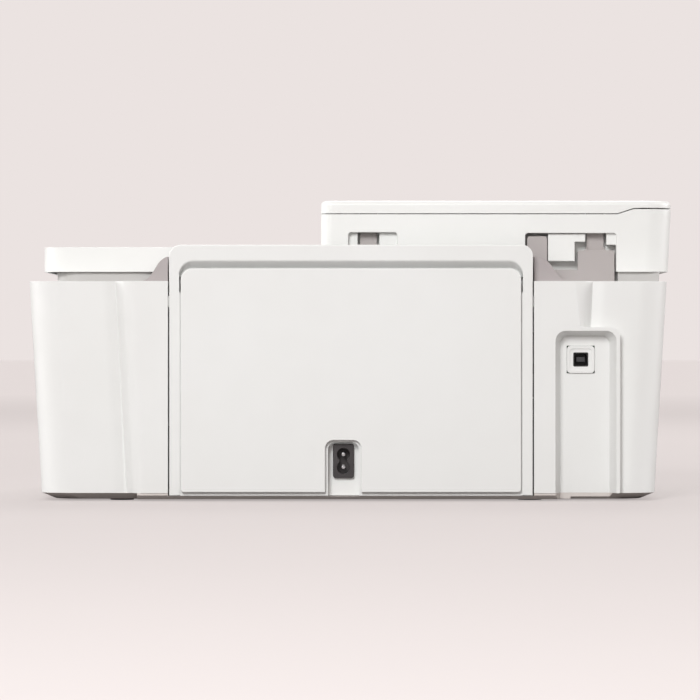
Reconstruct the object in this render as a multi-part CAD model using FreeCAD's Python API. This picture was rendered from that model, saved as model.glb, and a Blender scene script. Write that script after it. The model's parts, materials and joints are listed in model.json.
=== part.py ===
import FreeCAD, Part
import math
import os

os.makedirs("parts", exist_ok=True)

# Rear-fed inkjet printer with refillable ink tanks and a flatbed scanner, in millimetres.
# +Z is up, the front faces -Y, and the origin is on the table under the middle of the object.

# ---- driving dimensions: (low X, high X, low Y, high Y) outlines and heights -------------
WALL = 2.5                                    # moulded casing wall
BODY_TOP = (-213.8, 217.8, -180.5, 171.5)     # casing outline at its upper edge
BODY_LOW = (-205.5, 209.4, -175.0, 171.5)     # casing outline at its lower edge
BODY_Z = (5.2, 147.6)
BODY_R = 20.0
RAISED_Y = 178.0                              # raised middle of the rear face
CREASE = ((158.6, 151.2), (-162.9, -155.5))   # X of each step's foot: at the top, at the bottom
STEP_RUN = 7.5                                # how far the step's slope reaches inwards
PAN_INSET = 9.0
PAN_Z = 1.0
FLOOR_Z = 3.2                                 # inside floor of the base pan

SCAN_TOP = (-217.8, 20.3, -178.0, 150.0)      # scanner base outline at its upper edge
SCAN_LOW = (-215.7, 20.3, -178.0, 150.0)
SCAN_Z = (154.2, 193.3)
SCAN_R = (17.0, 8.0, 8.0, 17.0)
RIM_Z = 196.8                                 # raised rim along the outer side
RIM_X = (-180.6, -191.5)                      # the rim ramps up between these
POCKET_Y = (145.4, 136.5)                     # how deep each hinge pocket goes
POST_BACK = 136.5
SLOT_GAP = 1.6                                # room beside a hinge post in its slot
NECK_BACK = 146.6                             # rear of the neck under the deck
GRIP_HALF = 115.4                             # hollow above the rear panel, where fingers reach in
GRIP_DEPTH = 5.0
LUG = 0.65                                    # small lugs that centre the rear tray in its gap
LUG_Z = (130.2, 137.6)
REVEAL = (0.7, 0.9)                           # width and depth of the line round the rear panel
RIM_SWEEP = 0.9                               # the rim is lower here, where the lid's heel swings by
LID_Z = (193.9, 202.4)
SEAM = 0.7
GLASS = (-207.0, 9.0, -163.0, 134.0)
GLASS_Z = (188.0, 190.8)
WINDOW = (-204.0, 6.0, -160.0, 131.0)

DECK = (20.9, 208.8, -178.0, 150.0)           # lower deck over the ink tanks
DECK_Z = (154.2, 171.0)
NECK = (-209.4, 199.8, -170.0, 136.0)         # recessed frame under both upper slabs

LID_PIVOT = (147.5, 199.3)                    # Y, Z of the scanner lid's hinge axis
LID_PIN_R = 0.9
RUN = 0.05                                    # radial running clearance of every shaft
POST_X = ((-17.6, -6.2), (-171.6, -160.0))    # the two hinge posts
POCKETS = ((-31.3, 1.8, 181.0), (-179.8, -118.1, 180.5))   # low X, high X, top Z

TRAY_HALF = 122.1                             # rear tray frame
TRAY_Y = (166.0, 178.0)
TRAY_Z = (3.5, 172.0)
TRAY_R = 7.5
PANEL_HALF = 114.2                            # sliding paper support on the frame's face
PANEL_Y = (178.2, 180.5)
PANEL_Z = (5.8, 156.0)
RUNNER_X = (-80.0, 80.0)
NOTCH = (-5.2, 15.5, 39.5)                    # power notch: low X, high X, top Z
INLET = (5.1, 26.7)                           # X, Z of the power inlet's middle
INLET_PITCH = 8.6
USB = (-154.8, 94.9)                          # X, Z of the USB port's middle
RECESS_FLOOR = 166.0

BAY = (121.0, 199.0, -161.0, 41.8)            # opening in the deck over the tanks
BAY_PIVOT = (38.0, 168.2)
BAY_PIN_R = 0.8
BAY_KNUCKLES = ((129.0, 133.0), (187.0, 191.0))
TANKS = ("black", "cyan", "magenta", "yellow")
TANK_X = 121.6
TANK_PITCH = 18.4
TANK_W = 17.8
TANK_Y = (-150.0, 30.0)
TANK_Z = (30.0, 133.0)
TANK_WALL = 1.6
FILL_Y = 0.0                                  # filler necks
CAP_PIVOT = (13.0, 139.5)

PANEL_BOX = (28.0, 117.0, -172.0, -112.0)     # control panel in the deck
BUTTONS = ("power", "cancel", "copy", "wireless")

DOOR = (-120.5, 95.5, 84.5, 142.5)            # front door: low X, high X, low Z, high Z
DOOR_PIVOT = (-176.5, 86.6)
OUTPUT = (-116.0, 116.0, 12.0, 80.0)          # paper output opening
SIGHT = (124.0, 196.0, 40.0, 132.0)           # ink level window

PLATE_X = (-172.0, 116.0)                     # inner faces' side plates, 1.5 thick
PLATE_T = 1.5
SHAFT_Z = 56.0
FEED_Y, IDLER_Y, EXIT_Y = 50.0, 2.0, -46.0
PICK_AXIS = (128.0, 82.0)
MODULE = 1.0
GEAR_TEETH = 48
PINION_TEETH = 12
GEAR_X = (-179.0, -174.5)
CARRIAGE_X = (-168.5, -112.5)
HEAD_X = (-166.0, -139.5)
HEAD_W = 24.5
LATCH_AXIS = (24.5, 122.3)
PULLEY_X = (-158.0, 106.0)
PULLEY_Y = 55.0
PULLEY_R = 6.0
BELT_Z = (108.0, 114.0)


# ---- helpers ---------------------------------------------------------------------------
def vec(x, y, z):
    return FreeCAD.Vector(x, y, z)


def box(x0, x1, y0, y1, z0, z1):
    return Part.makeBox(x1 - x0, y1 - y0, z1 - z0, vec(x0, y0, z0))


def corners(x0, x1, y0, y1, z, radius):
    """A rounded rectangle's wire; radius is one number or one per corner, anticlockwise."""
    radii = radius if isinstance(radius, tuple) else (radius,) * 4
    places = ((x0, y0, 1, 1, 180), (x1, y0, -1, 1, 270), (x1, y1, -1, -1, 0), (x0, y1, 1, -1, 90))
    edges, ends = [], []
    for (x, y, sx, sy, start), r in zip(places, radii):
        if r <= 0:
            ends.append((vec(x, y, z), vec(x, y, z)))
            continue
        centre = vec(x + sx * r, y + sy * r, z)
        arc = Part.makeCircle(r, centre, vec(0, 0, 1), start, start + 90)
        edges.append(arc)
        ends.append((arc.Vertexes[0].Point, arc.Vertexes[-1].Point))
    for i in range(4):
        edges.append(Part.makeLine(ends[i][1], ends[(i + 1) % 4][0]))
    return Part.Wire(Part.__sortEdges__(edges))


def slab(x0, x1, y0, y1, z0, z1, radius=0.0):
    """A flat plate with rounded plan corners."""
    return Part.Face(corners(x0, x1, y0, y1, z0, radius)).extrude(vec(0, 0, z1 - z0))


def upright(x0, x1, z0, z1, y0, y1, radius=0.0):
    """A plate standing in the XZ plane, with rounded corners (low left, low right, up right, up left)."""
    plate = slab(x0, x1, z0, z1, -y1, -y0, radius)
    plate.rotate(vec(0, 0, 0), vec(1, 0, 0), 90)
    return plate


def taper(low, z0, high, z1, radius):
    return Part.makeLoft([corners(*low, z0, radius), corners(*high, z1, radius)], True, True)


def inset(outline, by):
    return (outline[0] + by, outline[1] - by, outline[2] + by, outline[3] - by)


def shrink(radius, by):
    radii = radius if isinstance(radius, tuple) else (radius,) * 4
    return tuple(max(r - by, 1.0) for r in radii)


def rod_x(x0, x1, y, z, r):
    return Part.makeCylinder(r, x1 - x0, vec(x0, y, z), vec(1, 0, 0))


def rod_y(x, y0, y1, z, r):
    return Part.makeCylinder(r, y1 - y0, vec(x, y0, z), vec(0, 1, 0))


def rod_z(x, y, z0, z1, r):
    return Part.makeCylinder(r, z1 - z0, vec(x, y, z0), vec(0, 0, 1))


def side_prism(points, x0, x1):
    """A (Y, Z) outline pushed along X."""
    wire = Part.makePolygon([vec(x0, y, z) for y, z in points + points[:1]])
    return Part.Face(wire).extrude(vec(x1 - x0, 0, 0))


def face_prism(points, y0, y1):
    """An (X, Z) outline pushed along Y."""
    wire = Part.makePolygon([vec(x, y0, z) for x, z in points + points[:1]])
    return Part.Face(wire).extrude(vec(0, y1 - y0, 0))


def join(shapes):
    first = shapes[0]
    return first.fuse(shapes[1:]).removeSplitter() if len(shapes) > 1 else first


def cut(shape, tools):
    return shape.cut(tools)


# ---- lower body ------------------------------------------------------------------------
def body_outer():
    return taper(BODY_LOW, BODY_Z[0], BODY_TOP, BODY_Z[1], BODY_R)


def body_inner(wall, top):
    low = inset(BODY_LOW, wall)
    high = inset(BODY_TOP, wall)
    return taper(low, BODY_Z[0] - 0.01, high, top, shrink(BODY_R, wall))


def usb_cavity(grow):
    """The cable recess: open to the back and to the underside, with sloping walls."""
    deep = RECESS_FLOOR - grow
    back = RAISED_Y + 1.0
    low_z = -1.0
    mouth = corners(-178.6 - grow, -137.0 + grow, low_z, 114.4 + grow, 0, (0.0, 0.0, 7.0, 7.0))
    floor = corners(-174.2 - grow, -141.0 + grow, low_z, 111.0 + grow, 0, (0.0, 0.0, 6.0, 6.0))
    for wire, y in ((mouth, back), (floor, deep)):
        wire.rotate(vec(0, 0, 0), vec(1, 0, 0), 90)
        wire.translate(vec(0, y, 0))
    return Part.makeLoft([floor, mouth], True, True)


def raised_back():
    """The middle of the rear face stands proud, between two sloping steps."""
    (left_top, left_low), (right_top, right_low) = CREASE
    rise = RAISED_Y - BODY_TOP[3]
    wires = []
    for back in (1.0, 0.0):
        y = RAISED_Y - back * (rise + 3.0)
        run = STEP_RUN * (1.0 - back * (rise + 3.0) / rise)
        outline = [(left_top - run, BODY_Z[1]), (left_low - run, BODY_Z[0]),
                   (right_low + run, BODY_Z[0]), (right_top + run, BODY_Z[1])]
        wires.append(Part.makePolygon([vec(x, y, z) for x, z in outline + outline[:1]]))
    return Part.makeLoft(wires, True, True)


def main_casing():
    shell = join([body_outer(), raised_back()])
    pocket = usb_cavity(WALL).common(box(-200, -120, 160, RAISED_Y, BODY_Z[0], BODY_Z[1]))
    shell = cut(shell, [body_inner(WALL, BODY_Z[1] - WALL)])
    shell = join([shell, pocket])
    usb_hole = box(USB[0] - 9.4, USB[0] + 9.4, 160, 170, USB[1] - 9.3, USB[1] + 9.3)
    openings = [
        usb_cavity(0.0),
        usb_hole,
        box(-TRAY_HALF - 0.8, TRAY_HALF + 0.8, 149.0, 185.0, 0.0, 150.0),
        box(-200.0, 205.0, -165.0, 132.0, 140.0, 150.0),
        box(DOOR[0] - 0.5, DOOR[1] + 0.5, -185.0, -160.0, DOOR[2] - 0.9, DOOR[3] + 0.5),
        box(OUTPUT[0], OUTPUT[1], -185.0, -160.0, OUTPUT[2], OUTPUT[3]),
        box(SIGHT[0], SIGHT[1], -185.0, -160.0, SIGHT[2], SIGHT[3]),
        rod_x(DOOR[0] - 5.0, DOOR[0], *DOOR_PIVOT, LID_PIN_R + RUN),
        rod_x(DOOR[1], DOOR[1] + 5.0, *DOOR_PIVOT, LID_PIN_R + RUN),
    ]
    return cut(shell, openings)


def foot_places():
    return [(155.0, 150.0), (-121.0, 150.0), (-150.0, -140.0), (150.0, -140.0)]


def screw_places():
    return [(185.0, 120.0), (-185.0, 120.0), (185.0, -110.0),
            (-185.0, -110.0), (60.0, -140.0), (-60.0, -140.0)]


def tray_rails():
    """Two angle rails that stand on the floor and carry the output tray."""
    rails = []
    for side in (-1, 1):
        x = side * 111.2
        foot = box(min(x, x + side * 4), max(x, x + side * 4), -165.0, 10.0, 3.0, 26.0)
        ledge = box(min(x, x - side * 7), max(x, x - side * 7), -165.0, 10.0, 13.2, 15.4)
        rails.append(join([foot, ledge]))
    return rails


def base_pan():
    pan = taper(inset(BODY_LOW, PAN_INSET), PAN_Z, BODY_LOW, BODY_Z[0], BODY_R)
    cuts = [
        slab(*inset(BODY_LOW, 6.5), FLOOR_Z, 6.0, BODY_R - 6.0),
        usb_cavity(0.0),
        box(-TRAY_HALF - 0.8, TRAY_HALF + 0.8, 160.0, 180.0, FLOOR_Z, 8.0),
    ]
    cuts += [rod_z(x, y, PAN_Z - 1.0, PAN_Z + 1.4, 3.2) for x, y in screw_places()]
    toe = side_prism([(160.0, 1.0), (173.0, 1.0), (177.4, 3.6), (177.4, BODY_Z[0]), (160.0, BODY_Z[0])],
                     CREASE[1][1] + STEP_RUN, CREASE[0][1] - STEP_RUN)
    return join([cut(join([pan, toe]), cuts)] + tray_rails())


def rubber_feet():
    return Part.makeCompound([rod_z(x, y, 0.0, PAN_Z, 8.0) for x, y in foot_places()])


def case_screws():
    solids = []
    for x, y in screw_places():
        head = rod_z(x, y, PAN_Z + 0.2, PAN_Z + 1.4, 3.0)
        drive = [box(x - 1.6, x + 1.6, y - 0.4, y + 0.4, 0.0, PAN_Z + 0.8)]
        drive.append(box(x - 0.4, x + 0.4, y - 1.6, y + 1.6, 0.0, PAN_Z + 0.8))
        solids.append(cut(head, drive))
    return Part.makeCompound(solids)


def neck_frame():
    outer = slab(*NECK, BODY_Z[1], DECK_Z[0], 14.0)
    inner = slab(*inset(NECK, 4.0), BODY_Z[1] - 1, DECK_Z[0] + 1, 10.0)
    rib = box(14.0, 18.0, NECK[2] + 2, NECK[3] - 2, BODY_Z[1], DECK_Z[0])
    back = slab(24.0, NECK[1], NECK[3] - 16.0, NECK_BACK, BODY_Z[1], DECK_Z[0], (2.0, 2.0, 13.0, 2.0))
    hollow = slab(27.0, NECK[1] - 4.0, 40.0, NECK_BACK - 3.0,
                  BODY_Z[1] - 1, DECK_Z[0] + 1, (0.0, 0.0, 10.0, 2.0))
    side = box(-209.0, -181.0, NECK[3] - 10.0, NECK_BACK, BODY_Z[1], DECK_Z[0])
    return join([cut(join([outer, back]), [inner, hollow]), rib, side])


# ---- scanner ---------------------------------------------------------------------------
def pocket_liners():
    return [box(x0 - 2, x1 + 2, 134.5, 149.0, SCAN_Z[0], top + 2) for x0, x1, top in POCKETS]


def scanner_base():
    outer = taper(SCAN_LOW, SCAN_Z[0], SCAN_TOP, SCAN_Z[1], SCAN_R)
    floor, roof = SCAN_Z[0] + WALL, SCAN_Z[1] - WALL
    hollow = taper(inset(SCAN_LOW, WALL), floor, inset(SCAN_TOP, WALL), roof, shrink(SCAN_R, WALL))
    ramp = [(RIM_X[0], SCAN_Z[1]), (RIM_X[1], RIM_Z), (-219.0, RIM_Z), (-219.0, SCAN_Z[1])]
    ring = slab(*SCAN_TOP, SCAN_Z[1], RIM_Z, SCAN_R)
    ring = cut(ring, [slab(*inset(SCAN_TOP, WALL), 190.0, 200.0, shrink(SCAN_R, WALL))])
    rim = ring.common(face_prism(ramp, -180.0, 152.0))
    swept = [(x, z - RIM_SWEEP) for x, z in ramp[:3]] + [(-219.0, RIM_Z + 1), (RIM_X[0], RIM_Z + 1)]
    swept_room = face_prism(swept, 140.0, SCAN_TOP[3])
    rim = cut(rim, [swept_room.common(slab(*inset(SCAN_TOP, 0.5), SCAN_Z[1], 200.0, shrink(SCAN_R, 0.5)))])
    base = join([cut(outer, [hollow]), rim] + pocket_liners())
    cuts = [slab(*WINDOW, roof - 1, SCAN_Z[1] + 1, 3.0)]
    for (x0, x1, top), (post0, post1), depth in zip(POCKETS, POST_X, POCKET_Y):
        cuts.append(upright(x0, x1, SCAN_Z[0] - 5, top, depth, 152.0, (0.0, 0.0, 2.0, 2.0)))
        cuts.append(box(post0 - SLOT_GAP, post1 + SLOT_GAP, POST_BACK, 152.0, SCAN_Z[0] - 5, top))
        cuts.append(box(post0 - 0.6, post1 + 0.6, POST_BACK, 142.5, top - 1, 200.0))
    side_lug = box(POCKETS[1][0] - 0.5, POST_X[1][0] - SLOT_GAP, POST_BACK, 147.0, 172.6, POCKETS[1][2] + 0.5)
    return join([cut(base, cuts), side_lug])


def scanner_glass():
    return slab(*GLASS, *GLASS_Z, 2.0)


def scan_rail():
    rail = rod_y(-98.0, -172.0, 128.0, 166.0, 3.0)
    blocks = [box(-104.0, -92.0, y, y + 6.0, 156.7, 171.0) for y in (-172.0, 122.0)]
    return join([rail] + blocks)


def scan_bar():
    bar = box(-203.0, 5.0, -150.0, -132.0, 172.0, 187.4)
    channel = box(-198.0, 0.0, -145.0, -137.0, 175.0, 188.0)
    bush = box(-105.0, -91.0, -155.0, -127.0, 160.5, 173.0)
    return cut(join([cut(bar, [channel]), bush]), [rod_y(-98.0, -156.0, -126.0, 166.0, 3.0 + RUN)])


def hinge_pins():
    pins = [rod_x(x0 - 4.0, x1 + 4.0, *LID_PIVOT, LID_PIN_R) for x0, x1 in POST_X]
    return Part.makeCompound(pins)


def lid_hinge_post(x0, x1, foot, foot_top):
    """A post that rises inside the scanner base and reaches back to the knuckle."""
    y, z = LID_PIVOT
    arm = side_prism(
        [(y, z - 1.7), (y - 6.2, z - 2.7), (y - 6.2, 154.3),
         (y - 9.4, 154.3), (y - 9.4, z + 0.2), (y, z + 1.7)],
        x0, x1)
    knuckle = rod_x(x0, x1, y, z, 1.75)
    base = box(foot[0], foot[1], y - 9.4, y - 4.5, BODY_Z[1], foot_top)
    return cut(join([arm, knuckle, base]), [rod_x(x0 - 1, x1 + 1, y, z, LID_PIN_R + RUN)])


def far_post_shoulders():
    """The wide foot of the far post, with rounded shoulders that lead into its stem."""
    stem0, stem1 = POST_X[1]
    shoulders = slab(-178.9, -153.9, BODY_Z[1], 169.0, -143.0, -POST_BACK - 1.6, (0.0, 0.0, 1.8, 1.8))
    shoulders.rotate(vec(0, 0, 0), vec(1, 0, 0), 90)
    fillets = [face_prism([(stem0 - 2.2, 168.9), (stem0 + 0.5, 168.9), (stem0 + 0.5, 171.6), (stem0, 171.6),
                           (stem0 - 0.6, 169.9)], POST_BACK + 1.6, 143.0),
               face_prism([(stem1 + 2.2, 168.9), (stem1 - 0.5, 168.9), (stem1 - 0.5, 171.6), (stem1, 171.6),
                           (stem1 + 0.6, 169.9)], POST_BACK + 1.6, 143.0)]
    bar = box(-154.5, -133.5, POST_BACK + 1.6, 143.0, BODY_Z[1], 155.9)
    return [shoulders, bar] + fillets


def lid_hinge_posts():
    near = lid_hinge_post(*POST_X[0], (-18.6, -5.2), 165.0)
    far = lid_hinge_post(*POST_X[1], (-178.9, -153.9), 165.0)
    return Part.makeCompound([near, join([far] + far_post_shoulders())])


def hinge_boss():
    upper = box(-159.0, -133.6, 136.5, 147.0, 174.6, 180.2)
    lower = box(-151.8, -133.6, 136.5, 147.0, 161.5, 174.6)
    return join([upper, lower])


def hinge_guide():
    return upright(-133.2, -119.4, BODY_Z[1], 178.6, 137.0, 146.0, (0.0, 0.0, 2.0, 2.0))


def scanner_lid():
    shell = slab(*SCAN_TOP, *LID_Z, SCAN_R)
    top_edges = [e for e in shell.Edges if all(abs(v.Point.z - LID_Z[1]) < 0.01 for v in e.Vertexes)]
    shell = shell.makeFillet(3.0, top_edges)
    relief = [(RIM_X[0], LID_Z[0] - 1), (RIM_X[0], LID_Z[0]), (RIM_X[1], RIM_Z + SEAM)]
    relief += [(-219.0, RIM_Z + SEAM), (-219.0, LID_Z[0] - 1)]
    cuts = [
        slab(*inset(SCAN_TOP, 5.0), LID_Z[0] - 1, LID_Z[1] - 2.5, shrink(SCAN_R, 5.0)),
        face_prism(relief, -180.0, 152.0),
        hinge_pins(),
    ]
    for x0, x1 in POST_X:
        cuts.append(box(x0 - 0.6, x1 + 0.6, 137.0, LID_PIVOT[0], LID_Z[0] - 1, LID_Z[1] - 0.9))
        cuts.append(box(x0 - 0.6, x1 + 0.6, LID_PIVOT[0], 149.4, LID_Z[0] - 1, LID_PIVOT[1]))
        cuts.append(rod_x(x0 - 0.6, x1 + 0.6, *LID_PIVOT, 1.95))
    return cut(shell, cuts)


def lid_pad():
    return slab(*inset(WINDOW, 1.0), 191.2, LID_Z[1] - 2.5, 3.0)


# ---- deck, tanks and controls ----------------------------------------------------------
def deck_knuckle(x0, x1):
    y, z = BAY_PIVOT
    arm = side_prism([(y, z + 1.4), (y - 3.4, z - 1.6), (y - 3.4, z - 6.0), (y + 4.2, z - 6.0),
                      (y + 4.2, z - 4.2), (y - 0.6, z - 4.2), (y - 0.2, z - 1.4)], x0, x1)
    return [arm, rod_x(x0, x1, y, z, 1.5)]


def deck_cover():
    radii = (4.0, 17.0, 17.0, 4.0)
    outer = slab(*DECK, *DECK_Z, radii)
    inner = slab(*inset(DECK, WALL), DECK_Z[0] - 1, DECK_Z[1] - WALL, shrink(radii, WALL))
    bay_wall = slab(*inset(BAY, -2.0), DECK_Z[0] + 3, DECK_Z[1] - 1)
    shell = cut(join([cut(outer, [inner]), bay_wall]), [
        slab(*BAY, DECK_Z[0] - 1, DECK_Z[1] + 1),
        slab(*PANEL_BOX, DECK_Z[0], DECK_Z[1] + 1, 6.0),
    ])
    knuckles = deck_knuckle(*BAY_KNUCKLES[0]) + deck_knuckle(*BAY_KNUCKLES[1])
    return cut(join([shell] + knuckles), [rod_x(BAY[0], BAY[1], *BAY_PIVOT, BAY_PIN_R + RUN)])


def tank_lid():
    y, z = BAY_PIVOT
    plate = slab(BAY[0] + 0.5, BAY[1] - 0.5, BAY[2] + 0.5, y + 1.8, DECK_Z[1] - 3.0, DECK_Z[1], 2.0)
    hollow = slab(BAY[0] + 4.0, BAY[1] - 4.0, BAY[2] + 4.0, y - 12.0, DECK_Z[1] - 4.0, DECK_Z[1] - 1.5, 2.0)
    gaps = [box(x0 - 0.4, x1 + 0.4, y - 4.2, y + 2.0, z - 2.0, DECK_Z[1] - 0.9) for x0, x1 in BAY_KNUCKLES]
    ear = [(y - 2, z), (y + 1.6, z), (y + 1.2, z - 1.6), (y - 2, z - 1.6)]
    ear_x = (BAY_KNUCKLES[0][0] - 3.5, BAY_KNUCKLES[1][1] + 1.0)
    ears = [side_prism(ear, x, x + 2.5) for x in ear_x]
    pin = rod_x(ear_x[0], ear_x[1] + 2.5, y, z, BAY_PIN_R)
    return join([cut(join([plate] + ears), [hollow] + gaps), pin])


def tank_left(i):
    return TANK_X + i * TANK_PITCH


def ink_tank(i):
    x0 = tank_left(i)
    middle = x0 + TANK_W / 2
    outer = slab(x0, x0 + TANK_W, *TANK_Y, *TANK_Z, 2.0)
    neck = rod_z(middle, FILL_Y, TANK_Z[1], TANK_Z[1] + 2.5, 6.5)
    y, z = CAP_PIVOT
    bosses = [side_prism([(y - 2.5, TANK_Z[1]), (y + 2.5, TANK_Z[1]),
                          (y + 2.0, z + 2.0), (y - 2.0, z + 2.0)], a, b)
              for a, b in ((middle - 8.0, middle - 5.2), (middle + 5.2, middle + 8.0))]
    inner = slab(x0 + TANK_WALL, x0 + TANK_W - TANK_WALL, TANK_Y[0] + TANK_WALL, TANK_Y[1] - TANK_WALL,
                 TANK_Z[0] + TANK_WALL, TANK_Z[1] - TANK_WALL, 1.0)
    cuts = [inner, rod_z(middle, FILL_Y, TANK_Z[1] - 3, TANK_Z[1] + 4, 4.0)]
    pin = rod_x(middle - 8.0, middle + 8.0, y, z, LID_PIN_R)
    return cut(join([outer, neck, pin] + bosses), cuts)


def ink_tanks():
    return Part.makeCompound([ink_tank(i) for i in range(len(TANKS))])


def tank_cap(i):
    middle = tank_left(i) + TANK_W / 2
    y, z = CAP_PIVOT
    floor = TANK_Z[1] + 2.7
    top = slab(middle - 8.2, middle + 8.2, FILL_Y - 9.0, FILL_Y + 9.0, floor, floor + 6.0, 5.0)
    plug = cut(rod_z(middle, FILL_Y, TANK_Z[1] - 1.0, floor, 3.7), [rod_z(middle, FILL_Y, 130, floor, 2.4)])
    arm = box(middle - 4.8, middle + 4.8, FILL_Y + 8.0, y, z - 1.9, z + 1.9)
    barrel = rod_x(middle - 4.8, middle + 4.8, y, z, 1.9)
    grip = box(middle - 5.0, middle + 5.0, FILL_Y - 11.5, FILL_Y - 8.0, floor + 1.0, floor + 3.0)
    return cut(join([top, plug, arm, barrel, grip]), [rod_x(middle - 6, middle + 6, y, z, LID_PIN_R + RUN)])


def tank_tray():
    """The cradle that holds the four tanks."""
    x0, x1 = TANK_X - 0.9, tank_left(3) + TANK_W + 1.2
    outer = box(x0, x1, TANK_Y[0] - 2, TANK_Y[1] + 2, FLOOR_Z, 48.0)
    return cut(outer, [box(TANK_X - 0.1, x1 - 1.1, TANK_Y[0] - 0.2, TANK_Y[1] + 0.2, TANK_Z[0], 50.0),
                       box(x0 + 4, x1 - 4, TANK_Y[0] + 4, TANK_Y[1] - 4, 0.0, 27.0)])


def button_place(name):
    return (46.0 + 17.5 * BUTTONS.index(name), -127.0)


def control_panel():
    plate = slab(*inset(PANEL_BOX, 0.2), DECK_Z[1] - 3.0, DECK_Z[1] + 0.2, 5.8)
    cuts = [rod_z(*button_place(n), 160.0, 175.0, 4.9) for n in BUTTONS]
    cuts.append(slab(46.0, 99.0, -163.0, -141.0, DECK_Z[1] - 1.4, 175.0, 2.0))
    return cut(plate, cuts)


def display():
    return slab(46.2, 98.8, -162.8, -141.2, DECK_Z[1] - 1.4, DECK_Z[1] + 0.1, 1.8)


def button(name):
    x, y = button_place(name)
    stem = rod_z(x, y, DECK_Z[1] - 6.0, DECK_Z[1] - 3.6, 2.0)
    flange = rod_z(x, y, DECK_Z[1] - 4.4, DECK_Z[1] - 3.4, 6.0)
    return join([stem, flange, rod_z(x, y, DECK_Z[1] - 3.6, DECK_Z[1] + 0.9, 4.6)])


# ---- front -----------------------------------------------------------------------------
def skin_piece(x0, x1, z0, z1, thickness):
    shell = cut(body_outer(), [body_inner(thickness, BODY_Z[1] + 1)])
    return shell.common(box(x0, x1, -185.0, -160.0, z0, z1))


def front_door():
    door = skin_piece(*DOOR, 3.0)
    grip = box(-40.0, 15.0, -184.0, -178.6, DOOR[3] - 7.0, DOOR[3] - 3.0)
    pins = [rod_x(DOOR[0] - 4.5, DOOR[0] + 6, *DOOR_PIVOT, LID_PIN_R),
            rod_x(DOOR[1] - 6, DOOR[1] + 4.5, *DOOR_PIVOT, LID_PIN_R)]
    return join([cut(door, [grip])] + pins)


def sight_window():
    return skin_piece(SIGHT[0] + 0.3, SIGHT[1] - 0.3, SIGHT[2] + 0.3, SIGHT[3] - 0.3, 2.0)


def output_tray():
    plate = box(-110.0, 110.0, -172.0, 5.0, 16.0, 18.5)
    lip = upright(-110.0, 110.0, 13.0, 32.0, -175.2, -172.0, (1.0, 1.0, 6.0, 6.0))
    sides = [box(x, x + 2.0, -172.0, 5.0, 18.5, 24.0) for x in (-110.0, 108.0)]
    return cut(join([plate, lip] + sides), [box(-62.5, 62.5, -176.0, -171.0, 18.9, 33.0)])


def output_extender():
    plate = slab(-60.0, 60.0, -170.0, -50.0, 19.2, 21.4, 4.0)
    finger = slab(-12.0, 12.0, -166.0, -158.0, 19.0, 22.0, 3.0)
    return cut(plate, [finger])


# ---- rear paper tray -------------------------------------------------------------------
def rear_tray_frame():
    outer = upright(-TRAY_HALF, TRAY_HALF, *TRAY_Z, *TRAY_Y, (0.0, 0.0, TRAY_R, TRAY_R))
    y0, y1 = TRAY_Y[0] + WALL, TRAY_Y[1] - WALL
    hollow = upright(-TRAY_HALF + WALL, TRAY_HALF - WALL, TRAY_Z[0] - 1, TRAY_Z[1] - WALL,
                     y0, y1, (0.0, 0.0, 5.0, 5.0))
    notch_wall = box(NOTCH[0] - WALL, NOTCH[1] + WALL, 160.0, 180.0, 0.0, NOTCH[2] + WALL)
    x, z = INLET
    scoop = Part.makeLoft([corners(-GRIP_HALF, GRIP_HALF, 60.0, 161.2, -TRAY_Y[1], 9.5),
                           corners(-GRIP_HALF, GRIP_HALF, 60.0, 156.4, -TRAY_Y[1] + GRIP_DEPTH, 8.4)], True, True)
    scoop.rotate(vec(0, 0, 0), vec(1, 0, 0), 90)
    edge = PANEL_HALF + REVEAL[0]
    grip_wall = box(-TRAY_HALF, TRAY_HALF, TRAY_Y[1] - GRIP_DEPTH - WALL, TRAY_Y[1], 150.0, 168.0)
    lugs = box(-TRAY_HALF - LUG, TRAY_HALF + LUG, 170.0, 176.5, LUG_Z[0], LUG_Z[1])
    cuts = [
        cut(hollow, [notch_wall, grip_wall]),
        upright(-edge, edge, 3.0, 158.0, TRAY_Y[1] - REVEAL[1], 180.0, (0.0, 0.0, 8.4, 8.4)),
        upright(NOTCH[0], NOTCH[1], 0.0, NOTCH[2], 169.6, 180.0, (0.0, 0.0, 5.0, 5.0)),
        upright(x - 7.1, x + 7.1, z - 11.6, z + 11.6, 160.0, 180.0, 1.6),
        scoop.common(box(-130.0, 130.0, 170.0, 180.0, 140.0, 170.0)),
    ]
    cuts += [box(x - 1.5, x + 1.5, 174.0, 180.0, 26.0, 150.0) for x in RUNNER_X]
    return cut(join([outer, lugs]), cuts)


def paper_support():
    panel = upright(-PANEL_HALF, PANEL_HALF, *PANEL_Z, *PANEL_Y, (2.0, 2.0, 8.0, 8.0))
    panel = cut(panel, [upright(-6.8, 17.3, 0.0, 40.7, 177.0, 182.0, (0.0, 0.0, 5.5, 5.5))])
    runners = []
    for x in RUNNER_X:
        runners.append(box(x - 1.3, x + 1.3, 174.6, 178.4, 28.0, 46.0))
        runners.append(box(x - 4.0, x + 4.0, 173.0, 175.0, 28.0, 46.0))
    return join([panel] + runners)


def hopper_cheek(side, shape):
    curve = Part.BSplineCurve()
    curve.interpolate([vec(side * x, 151.0, z) for x, z in shape])
    top = curve.toShape()
    (x_out, z_out), (x_in, z_in) = shape[0], shape[-1]
    low_in = vec(side * x_in, 151.0, BODY_Z[1])
    low_out = vec(side * x_out, 151.0, BODY_Z[1])
    first, last = vec(side * x_out, 151.0, z_out), vec(side * x_in, 151.0, z_in)
    edges = [top, Part.makeLine(last, low_in), Part.makeLine(low_in, low_out), Part.makeLine(low_out, first)]
    return Part.Face(Part.Wire(Part.__sortEdges__(edges))).extrude(vec(0, 17.0, 0))


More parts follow.
